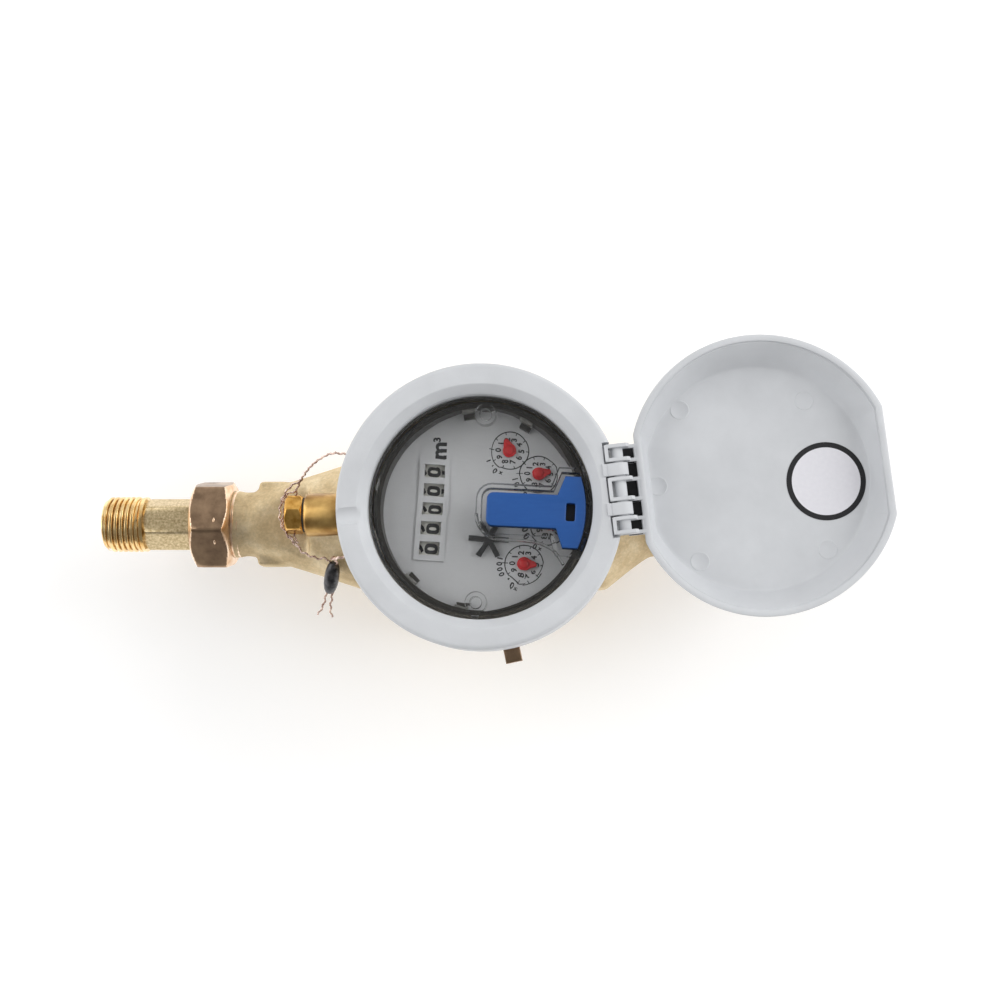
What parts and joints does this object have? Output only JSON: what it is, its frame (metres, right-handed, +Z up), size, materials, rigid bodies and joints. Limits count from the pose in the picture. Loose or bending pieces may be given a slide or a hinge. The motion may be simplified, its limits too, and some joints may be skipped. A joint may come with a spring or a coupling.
{
  "type": "water meter",
  "caption": "Brass multi-jet water meter with union tailpieces, wet roller register under a clear glass, hinged lid and wire seal.",
  "frame": {"origin": "centre of the cast base, under the head axis", "axes": "+X from inlet to outlet along the pipe, +Z up out of the dial"},
  "size_m": [0.2979, 0.1159, 0.1079],
  "materials": {
    "cast_brass": "cast, tumbled",
    "nut_brass": "machined, dulled",
    "tail_brass": "machined",
    "bright_brass": "machined",
    "gasket_rubber": "moulded",
    "insert_plastic": "moulded",
    "steel": "ground",
    "dial_metal": "silver lacquer",
    "pointer_red": "moulded",
    "star_black": "moulded",
    "wall_black": "moulded",
    "roller_white": "moulded, printed digits",
    "clear_glass": "polished",
    "plug_blue": "moulded",
    "head_plastic": "moulded",
    "seal_lead": "moulded",
    "wire_copper": "twisted"
  },
  "bodies": {
    "meter": {"body": "cast_brass", "inlet_nut": "nut_brass", "outlet_nut": "nut_brass", "inlet_tailpiece": "tail_brass", "outlet_tailpiece": "tail_brass", "inlet_gasket": "gasket_rubber", "outlet_gasket": "gasket_rubber", "inlet_strainer": "insert_plastic", "regulator_screw": "bright_brass", "regulator_washer": "gasket_rubber", "regulator_plug": "bright_brass", "chamber_cup": "insert_plastic", "pivot_pin": "steel", "chamber_cover": "insert_plastic", "register_base": "insert_plastic", "register_top": "insert_plastic", "dial": "dial_metal", "plate_screws": "steel", "roller_shaft": "steel", "dial_wall": "wall_black", "glass_gasket": "gasket_rubber", "glass": "clear_glass", "blanking_plug": "plug_blue", "head_ring": "head_plastic", "hinge_pin": "head_plastic", "lead_seal": "seal_lead", "seal_wire_long": "wire_copper", "seal_wire_short": "wire_copper"},
    "lid": {"lid": "head_plastic"},
    "impeller": {"impeller": "insert_plastic"},
    "star": {"star_arbor": "insert_plastic", "flow_star": "star_black"},
    "pointer_1": {"arbor_1": "insert_plastic", "pointer_1": "pointer_red"},
    "pointer_2": {"arbor_2": "insert_plastic", "pointer_2": "pointer_red"},
    "pointer_3": {"arbor_3": "insert_plastic", "pointer_3": "pointer_red"},
    "pointer_4": {"arbor_4": "insert_plastic", "pointer_4": "pointer_red"},
    "idler_1": {"idler_1": "insert_plastic"},
    "idler_2": {"idler_2": "insert_plastic"},
    "idler_3": {"idler_3": "insert_plastic"},
    "roller_1": {"roller_1": "roller_white"},
    "roller_2": {"roller_2": "roller_white"},
    "roller_3": {"roller_3": "roller_white"},
    "roller_4": {"roller_4": "roller_white"},
    "roller_5": {"roller_5": "roller_white"}
  },
  "joints": [
    {"name": "lid_hinge", "type": "hinge", "parent": "meter", "child": "lid", "pos_m": [0.05008, 0.00571, 0.1045], "axis": [0.1132, -0.9936, 0], "range_deg": [0, 180]},
    {"name": "impeller_spin", "type": "hinge", "parent": "meter", "child": "impeller", "pos_m": [0, 0, 0.04], "axis": [0, 0, 1], "continuous": true},
    {"name": "star_spin", "type": "hinge", "parent": "meter", "child": "star", "pos_m": [0.00262, -0.01048, 0.07], "axis": [0, 0, 1], "continuous": true},
    {"name": "pointer_1_spin", "type": "hinge", "parent": "meter", "child": "pointer_1", "pos_m": [0.01005, 0.02267, 0.07], "axis": [0, 0, 1], "continuous": true},
    {"name": "pointer_2_spin", "type": "hinge", "parent": "meter", "child": "pointer_2", "pos_m": [0.02051, 0.01394, 0.07], "axis": [0, 0, 1], "continuous": true},
    {"name": "pointer_3_spin", "type": "hinge", "parent": "meter", "child": "pointer_3", "pos_m": [0.02417, -0.00554, 0.07], "axis": [0, 0, 1], "continuous": true},
    {"name": "pointer_4_spin", "type": "hinge", "parent": "meter", "child": "pointer_4", "pos_m": [0.01537, -0.01946, 0.07], "axis": [0, 0, 1], "continuous": true},
    {"name": "idler_1_spin", "type": "hinge", "parent": "meter", "child": "idler_1", "pos_m": [0.00927, 0.0107, 0.07], "axis": [0, 0, 1], "continuous": true},
    {"name": "idler_2_spin", "type": "hinge", "parent": "meter", "child": "idler_2", "pos_m": [0.01599, 0.00282, 0.07], "axis": [0, 0, 1], "continuous": true},
    {"name": "idler_3_spin", "type": "hinge", "parent": "meter", "child": "idler_3", "pos_m": [0.01246, -0.00813, 0.07], "axis": [0, 0, 1], "continuous": true},
    {"name": "roller_1_spin", "type": "hinge", "parent": "meter", "child": "roller_1", "pos_m": [-0.0177, 0.01525, 0.0739], "axis": [0.0471, 0.9989, 0], "continuous": true},
    {"name": "roller_2_spin", "type": "hinge", "parent": "meter", "child": "roller_2", "pos_m": [-0.01804, 0.00806, 0.0739], "axis": [0.0471, 0.9989, 0], "continuous": true},
    {"name": "roller_3_spin", "type": "hinge", "parent": "meter", "child": "roller_3", "pos_m": [-0.01838, 0.00087, 0.0739], "axis": [0.0471, 0.9989, 0], "continuous": true},
    {"name": "roller_4_spin", "type": "hinge", "parent": "meter", "child": "roller_4", "pos_m": [-0.01872, -0.00633, 0.0739], "axis": [0.0471, 0.9989, 0], "continuous": true},
    {"name": "roller_5_spin", "type": "hinge", "parent": "meter", "child": "roller_5", "pos_m": [-0.01906, -0.01352, 0.0739], "axis": [0.0471, 0.9989, 0], "continuous": true}
  ],
  "couplings": [
    {"joint": "star_spin", "follows": "impeller_spin", "ratio": -0.28571},
    {"joint": "pointer_4_spin", "follows": "impeller_spin", "ratio": 0.17857},
    {"joint": "idler_3_spin", "follows": "impeller_spin", "ratio": -0.053571},
    {"joint": "pointer_3_spin", "follows": "impeller_spin", "ratio": 0.017857},
    {"joint": "idler_2_spin", "follows": "impeller_spin", "ratio": -0.0053571},
    {"joint": "pointer_2_spin", "follows": "impeller_spin", "ratio": 0.0017857},
    {"joint": "idler_1_spin", "follows": "impeller_spin", "ratio": -0.00053571},
    {"joint": "pointer_1_spin", "follows": "impeller_spin", "ratio": 0.00017857},
    {"joint": "roller_1_spin", "follows": "impeller_spin", "ratio": 0.000017857},
    {"joint": "roller_2_spin", "follows": "impeller_spin", "ratio": 0.0000017857},
    {"joint": "roller_3_spin", "follows": "impeller_spin", "ratio": 0.00000017857},
    {"joint": "roller_4_spin", "follows": "impeller_spin", "ratio": 0.000000017857},
    {"joint": "roller_5_spin", "follows": "impeller_spin", "ratio": 0.0000000017857}
  ]
}
